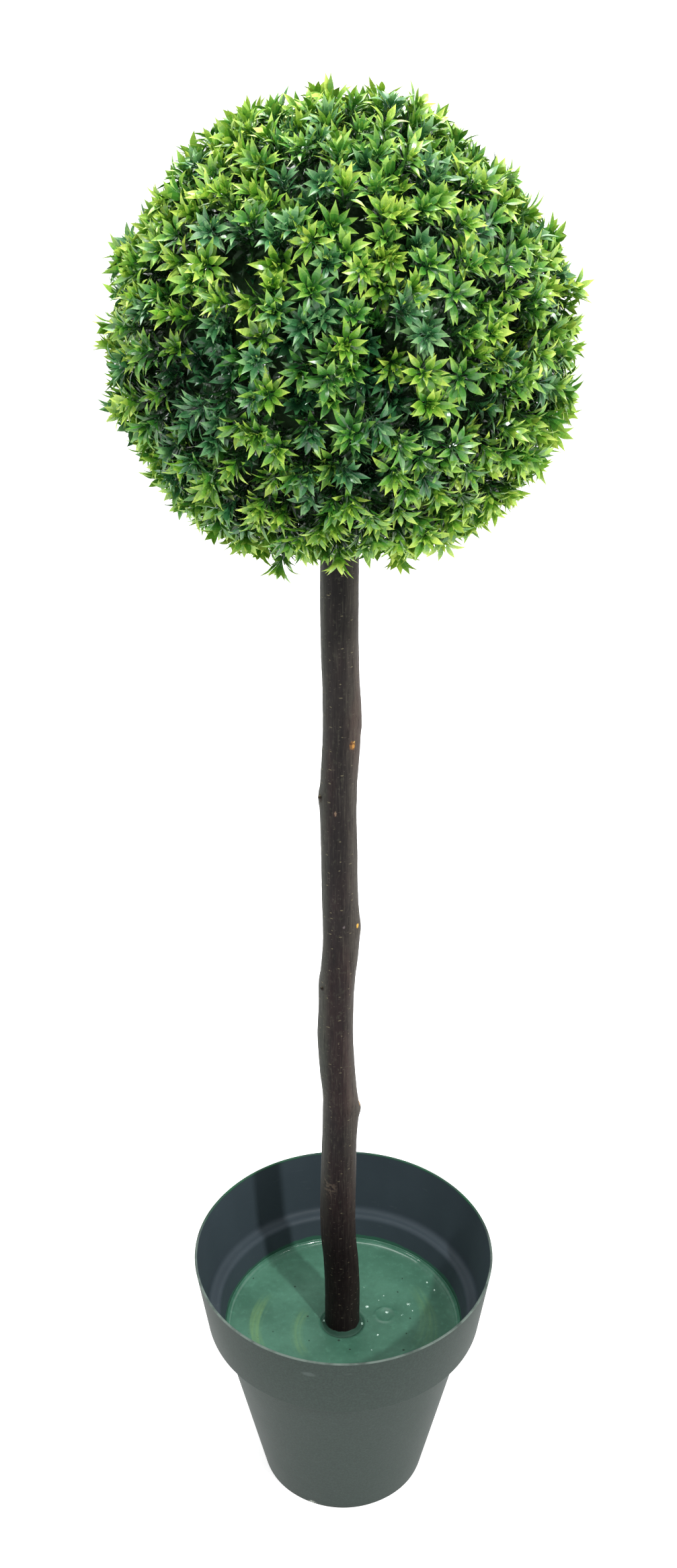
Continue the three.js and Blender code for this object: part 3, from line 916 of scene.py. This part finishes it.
# The outline of half a leaf: for each row its share of the length, its share of the greatest
# width, and where its points lie across it.
OUTER_LEAF = (
    (0.0, 0.2, (0, 1)),
    (0.28, 0.17, (0, 1)),
    (0.38, 0.56, (0, 1)),
    (0.48, 0.89, (0, 0.87, 1)),
    (0.58, 1.0, (0, 0.88, 1)),
    (0.68, 0.88, (0, 0.87, 1)),
    (0.79, 0.57, (0, 0.82, 1)),
    (0.9, 0.23, (0, 1)),
    (1.0, 0.0, (0,)),
)
INNER_LEAF = (
    (0.0, 0.2, (0, 1)),
    (0.28, 0.2, (0, 1)),
    (0.42, 0.8, (0, 1)),
    (0.58, 1.0, (0, 1)),
    (0.75, 0.68, (0, 1)),
    (0.88, 0.27, (0, 1)),
    (1.0, 0.0, (0,)),
)
LOWER_LEAF = (
    (0.0, 0.14, (0, 1)),
    (0.3, 0.16, (0, 1)),
    (0.5, 0.96, (0, 1)),
    (0.74, 0.7, (0, 1)),
    (1.0, 0.0, (0,)),
)

# The tiers of a stem: how far below its tip in millimetres, how many leaves, their lean from
# the stem and their bend in degrees, their size, where along the shades they start, and their
# outline.
TIERS = (
    (-1.5, 5, 12, 20, 0.62, 0.05, INNER_LEAF),
    (0.0, 8, 37, 30, 1.0, 0.0, OUTER_LEAF),
    (7.5, 7, 38, 32, 1.0, -0.06, LOWER_LEAF),
    (16.5, 7, 37, 32, 1.0, -0.2, LOWER_LEAF),
    (28.0, 6, 36, 34, 1.0, -0.35, LOWER_LEAF),
)

LOWER_TIER = 15  # tiers further down than this wear the lower tint

draws = np.random.default_rng(SEED)
core_low, core_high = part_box("core_upper")
ball_middle = Vector(((core_low.x + core_high.x) / 2, (core_low.y + core_high.y) / 2, core_low.z))
masses = sorted(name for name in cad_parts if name.startswith("foliage"))
mass_trees = {}
for mass in masses:
    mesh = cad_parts[mass].data
    corners = [v.co.copy() for v in mesh.vertices]
    mass_trees[mass] = BVHTree.FromPolygons(corners, [tuple(p.vertices) for p in mesh.polygons])


def outline(way):
    """How far the clipped outline lies from the ball's middle that way, and in which mass."""
    far = ball_middle + way * 0.4
    reach, found = 0.0, None
    for mass, tree in mass_trees.items():
        hit = tree.ray_cast(far, -way)
        if hit[0] is not None and (hit[0] - ball_middle).length > reach:
            reach, found = (hit[0] - ball_middle).length, mass
    return reach, found


def leaf_pattern(rows):
    """A leaf's points as row, share across and side, and its faces as corners, row and rim.

    Between two rows the faces follow whichever row has its next point nearer the midrib.
    """
    points = []
    faces = []
    for side in (1, -1):
        starts = []
        for row, (_, _, columns) in enumerate(rows):
            starts.append(len(points))
            points.extend((row, share, side) for share in columns)
        for row in range(len(rows) - 1):
            near, far = rows[row][2], rows[row + 1][2]
            i, j = 0, 0
            while i < len(near) - 1 or j < len(far) - 1:
                ahead = near[i + 1] if i < len(near) - 1 else math.inf
                other = far[j + 1] if j < len(far) - 1 else math.inf
                first, second = starts[row] + i, starts[row + 1] + j
                if ahead <= other:
                    corners = (first, first + 1, second)
                    i += 1
                else:
                    corners = (first, second + 1, second)
                    j += 1
                across = [points[corner][1] for corner in corners]
                rim = min(across) > 0.5 and len(set(across)) > 1 and 1 in across
                faces.append((corners if side > 0 else corners[::-1], row, rim))
    return points, faces


def upright(ways):
    """Two directions across each of the given ones."""
    helper = np.where(abs(ways[:, 2:]) < 0.9, (0.0, 0.0, 1.0), (1.0, 0.0, 0.0))
    first = np.cross(ways, helper)
    first /= np.linalg.norm(first, axis=1)[:, None]
    return first, np.cross(ways, first)


def grow_leaves(rows, roots, stems, outs, lean, bend, length, width, fold, twist):
    """The points of many leaves: each leaves its root between its stem's way and outwards."""
    places = np.array([row[0] for row in rows])
    widths = np.array([row[1] for row in rows])
    pattern, faces = leaf_pattern(rows)
    angles = lean[:, None] + bend[:, None] * places**1.5
    steps = np.diff(places)
    middles = (angles[:, 1:] + angles[:, :-1]) / 2
    along = np.zeros((len(roots), len(rows)))
    out = np.zeros_like(along)
    along[:, 1:] = np.cumsum(np.cos(middles) * steps, axis=1)
    out[:, 1:] = np.cumsum(np.sin(middles) * steps, axis=1)
    sideways = np.cross(stems, outs)
    shape = np.empty((len(roots), len(pattern), 3))
    for spot, (row, share, side) in enumerate(pattern):
        angle = angles[:, row, None]
        upper = np.sin(angle) * stems - np.cos(angle) * outs
        roll = (twist * places[row])[:, None]
        across = np.cos(roll) * sideways + np.sin(roll) * upper
        upper = np.cos(roll) * upper - np.sin(roll) * sideways
        half = (width * widths[row] / 2 * share)[:, None]
        middle = along[:, row, None] * stems + out[:, row, None] * outs
        edge = side * across + fold[:, None] * upper
        shape[:, spot] = roots + middle * length[:, None] + half * edge
    corners = np.array([face[0] for face in faces])
    face_rows = np.array([face[1] for face in faces])
    rims = np.array([face[2] for face in faces])
    return shape, corners, face_rows, rims


def degrees_apart(way, middle):
    return math.degrees(way.angle(Vector(middle)))


def within(way, places):
    """Whether a direction lies in one of the given places."""
    return any(degrees_apart(way, middle) < wide for middle, wide in places)


def place_rosettes():
    """Each mass's rosettes: even over the ball, then shaken, and deep with painted shade in the
    gaps.
    """
    places = {mass: [] for mass in masses}
    for number in range(ROSETTES):
        rise = 1 - 2 * (number + 0.5) / ROSETTES
        turn = number * GOLDEN_TURN
        level = math.sqrt(1 - rise * rise)
        way = Vector((level * math.cos(turn), level * math.sin(turn), rise))
        shake = Vector(draws.normal(0, SHAKE, 3))
        way = (way + shake - way * shake.dot(way)).normalized()
        open_here = within(way, PARTINGS)
        dim = within(way, DIM_PLACES)
        sink = ROSETTE_SINK + draws.normal(0, SINK_SPREAD)
        deep = draws.random()
        if deep < DEEP_SHARE:
            sink += deep / DEEP_SHARE * DEEP_SINK
        tint = draws.random()
        size = draws.uniform(*ROSETTE_SIZES)
        lean = Vector(draws.normal(0, STEM_LEAN, 3))
        if dim:
            sink = DIM_SINK
        if open_here:
            sink = PARTING_SINK
        for middle, depth, wide in HOLLOWS:
            sink += depth * hump(degrees_apart(way, middle), wide)
        reach, mass = outline(way)
        tip = ball_middle + way * (reach - sink)
        from_stick = math.hypot(tip.x - ball_middle.x, tip.y - ball_middle.y)
        if way.z < 0 and from_stick < STICK_CLEARANCE:
            continue
        droop = STEM_DROOP + UNDER_DROOP * max(0.0, -way.z)
        axis = (way + lean - Vector((0, 0, droop))).normalized()
        # Painted shade darkens the rosettes in the partings and the dim places.
        freshness_and_painted_light = PARTING_PAINTED_SHADE if open_here else DIM_PAINTED_SHADE if dim else 0.0
        # Painted light and shade, with fresher and older leaves, make some places lighter and
        # others darker.
        for middle, amount, wide in FRESH_AND_PAINTED_LIGHT:
            freshness_and_painted_light += amount * hump(degrees_apart(way, middle), wide)
        places[mass].append((way, tip, axis, tint, size, freshness_and_painted_light))
    return places


def leaf_finishes():
    """Plain plastics from the roots' shade to the tips', for each tint and the lower leaves."""
    finishes = []
    for name, tint in (*TINTS.items(), ("inner", LOWER_TINT)):
        root, middle, tip = (paint(*shade) for shade in tint[:3])
        for shade in range(SHADES):
            share = shade / (SHADES - 1)
            if share < 0.5:
                colour = between(root, middle, share * 2)
            else:
                colour = between(middle, tip, share * 2 - 1)
            gloss = {"roughness": 0.17 + 0.2 * share, "specular_ior_level": 0.9 - 0.4 * share}
            finish = Finish(f"leaf_{name}_{shade + 1}", base_color=colour, **gloss)
            finishes.append(finish)
    return finishes


def stem_tubes(roots, tips):
    """Thin four-sided stems from the core to the rosettes."""
    ways = tips - roots
    ways /= np.linalg.norm(ways, axis=1)[:, None]
    first, second = upright(ways)
    rings = []
    for place, wide in ((roots, 1.25), ((roots + tips) / 2, 1.0), (tips, 0.8)):
        for side in range(4):
            turn = math.pi / 2 * side
            out = first * math.cos(turn) + second * math.sin(turn)
            rings.append(place + out * STEM_RADIUS * wide)
    points = np.stack(rings, axis=1)
    quads = np.array(tube_faces(3, 4))
    starts = np.arange(len(roots))[:, None, None] * len(rings)
    return points.reshape(-1, 3), (quads[None] + starts).reshape(-1, 4)


def make_foliage():
    """The leaves and the stems of each mass, as two joined pieces."""
    finishes = leaf_finishes()
    tint_ends = np.cumsum([tint[3] for tint in TINTS.values()])
    stem_finish = [Finish("leaf_stem", base_color=paint(44, 78, 34), roughness=0.45)]
    for mass, places in place_rosettes().items():
        count = len(places)
        ways, tips, axes, tint_draws, sizes, freshness_and_painted_light = map(np.array, zip(*places, strict=True))
        warmer = FRESH_AND_LIGHT_WARMTH * freshness_and_painted_light + UNDER_WARMTH * np.maximum(0.0, -ways[:, 2])
        tints = np.searchsorted(tint_ends[:-1], tint_draws - warmer, side="right")
        opens = draws.normal(0, OPENING_SPREAD, count)
        first, second = upright(axes)
        points, faces, worn = [], [], []
        total = 0
        for depth, leaves, lean, bend, scale, shade, rows in TIERS:
            number = count * leaves
            stem = np.repeat(np.arange(count), leaves)
            start = np.repeat(draws.uniform(0, 2 * math.pi, count), leaves)
            turn = start + np.tile(np.arange(leaves), count) * 2 * math.pi / leaves
            turn = turn + draws.normal(0, TURN_SPREAD, number)
            outs = first[stem] * np.cos(turn)[:, None] + second[stem] * np.sin(turn)[:, None]
            below = (depth + draws.uniform(-ROOT_SPREAD, ROOT_SPREAD, number)) * MM
            roots = tips[stem] - axes[stem] * below[:, None]
            leans = np.radians(lean + opens[stem] + draws.normal(0, LEAN_SPREAD, number))
            bends = np.radians(bend + draws.normal(0, BEND_SPREAD, number))
            length = LEAF_LENGTH * scale * sizes[stem] * draws.uniform(*LEAF_LENGTHS, number)
            width = LEAF_WIDTH * scale * sizes[stem] * draws.uniform(*LEAF_WIDTHS, number)
            fold = draws.uniform(*LEAF_FOLDS, number)
            twist = draws.normal(0, TWIST_SPREAD, number)
            shape, corners, face_rows, rims = grow_leaves(
                rows, roots, axes[stem], outs, leans, bends, length, width, fold, twist
            )
            brightness = shade + freshness_and_painted_light[stem]
            brightness = brightness + draws.normal(SHADE_CHANGE, SHADE_SPREAD, number)
            along = np.array([rows[row][0] + rows[row + 1][0] for row in face_rows]) / 2
            lighter = np.clip(along - 0.1, 0, 1) ** 0.95
            glow = brightness[:, None] + lighter + rims * RIM_LIGHT
            step = np.clip((glow * SHADES).astype(int), 0, SHADES - 1)
            tint = np.where(depth > LOWER_TIER, len(TINTS), tints[stem])
            worn.append((tint[:, None] * SHADES + step).ravel())
            starts = np.arange(number)[:, None, None] * shape.shape[1] + total
            faces.append((corners[None] + starts).reshape(-1, 3))
            points.append(shape.reshape(-1, 3))
            total += number * shape.shape[1]
        name = mass.replace("foliage_", "")
        points, faces, worn = map(np.concatenate, (points, faces, worn))
        leaves = make_piece(f"leaves_{name}", points, faces, finishes, "leaves", worn)
        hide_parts(mass)
        middle = np.array(tuple(ball_middle))
        stems = stem_tubes(middle + ways * STEM_ROOT, tips)
        make_piece(f"stems_{name}", *stems, stem_finish, "leaves")


# ---- camera, light and floor ----

CAMERA_PLACE = (-5.4 * MM, -1495.9 * MM, 1745.4 * MM)
CAMERA_FALL = 29.81  # degrees below level
CAMERA_LENS = 42.48  # for a 36 mm sensor along the picture's long side
STUDIO_GLOW = 0.38  # soft light from all round
BACKDROP = 1.0  # how bright the studio behind the tree is

# Lamps: where each shines from, its strength, and how wide it is in degrees.
LAMPS = {
    "main_lamp": ((0.367, -0.576, 0.73), 2.3, 2.5),
    "second_lamp": ((-0.75, -0.34, 0.56), 0.35, 9),
    "left_glow": ((-0.83, 0.4, 0.4), 0.8, 60),
    "right_glow": ((0.83, 0.4, 0.4), 1.5, 60),
}
ROOM_LAMPS = 6  # small weak ones in an arc behind the camera
ROOM_LAMP_STRENGTH = 0.13
ROOM_LAMP_WIDTH = 2.5
ROOM_LAMP_TURNS = (-165, -15)  # degrees from +X
ROOM_LAMP_RISES = (32, 58)  # in turn, degrees above level
LAMP_REACH = 4  # a sun lamp shines the same from any place
CEILING_PLACE = (-0.25, 0.45, 2.55)
CEILING_SIZE = 1.2
CEILING_POWER = 34
FLOOR_REACH = 60
FLOOR_GLOW = 0.62  # keeps the floor as pale as the backdrop


def make_camera():
    camera = bpy.data.cameras.new("camera")
    camera.lens = CAMERA_LENS
    camera.sensor_width = 36
    camera.clip_start = 0.05
    camera.clip_end = 90
    holder = stand("camera", camera)
    holder.location = CAMERA_PLACE
    holder.rotation_euler = (math.radians(90 - CAMERA_FALL), 0, 0)
    bpy.context.scene.camera = holder


def make_lamps():
    lamps = dict(LAMPS)
    first, last = ROOM_LAMP_TURNS
    for number in range(ROOM_LAMPS):
        turn = math.radians(first + (last - first) * number / (ROOM_LAMPS - 1))
        rise = math.radians(ROOM_LAMP_RISES[number % 2])
        level = math.cos(rise)
        way = (level * math.cos(turn), level * math.sin(turn), math.sin(rise))
        lamps[f"room_lamp_{number + 1}"] = (way, ROOM_LAMP_STRENGTH, ROOM_LAMP_WIDTH)
    for name, (way, strength, wide) in lamps.items():
        lamp = bpy.data.lights.new(name, "SUN")
        lamp.energy = strength
        lamp.angle = math.radians(wide)
        holder = stand(name, lamp)
        holder.location = Vector(way) * LAMP_REACH
        holder.rotation_euler = Vector(way).to_track_quat("Z", "Y").to_euler()
    lamp = bpy.data.lights.new("ceiling_lamp", "AREA")
    lamp.shape = "DISK"
    lamp.size = CEILING_SIZE
    lamp.energy = CEILING_POWER
    holder = stand("ceiling_lamp", lamp)
    holder.location = CEILING_PLACE
    toward = Vector(CEILING_PLACE) - ball_middle
    holder.rotation_euler = toward.to_track_quat("Z", "Y").to_euler()


def make_stage():
    signs = ((-1, -1), (1, -1), (1, 1), (-1, 1))
    corners = [(x * FLOOR_REACH, y * FLOOR_REACH, 0) for x, y in signs]
    mesh = bpy.data.meshes.new("floor")
    mesh.from_pydata(corners, [], [(0, 1, 2, 3)])
    glow = {"emission_color": (1, 1, 1, 1), "emission_strength": FLOOR_GLOW}
    finish = Finish("floor", base_color=(0.7, 0.7, 0.7, 1), roughness=0.9, **glow)
    mesh.materials.append(finish.material)
    floor = stand("floor", mesh)
    world = bpy.data.worlds.new("studio")
    world.use_nodes = True
    studio = Shading(world.node_tree, "Background")
    studio.shader.inputs["Color"].default_value = (1, 1, 1, 1)
    seen = studio.node("LightPath", {}, {}, "Is Camera Ray")
    levels = {"Value": seen, "To Min": STUDIO_GLOW, "To Max": BACKDROP}
    studio.feed("Strength", studio.node("MapRange", {}, levels))
    bpy.context.scene.world = world
    bpy.context.scene.view_settings.view_transform = "Standard"


make_camera()
make_stage()
make_lamps()
make_pot()
make_stick()
make_cement()
dress_core()
make_foliage()
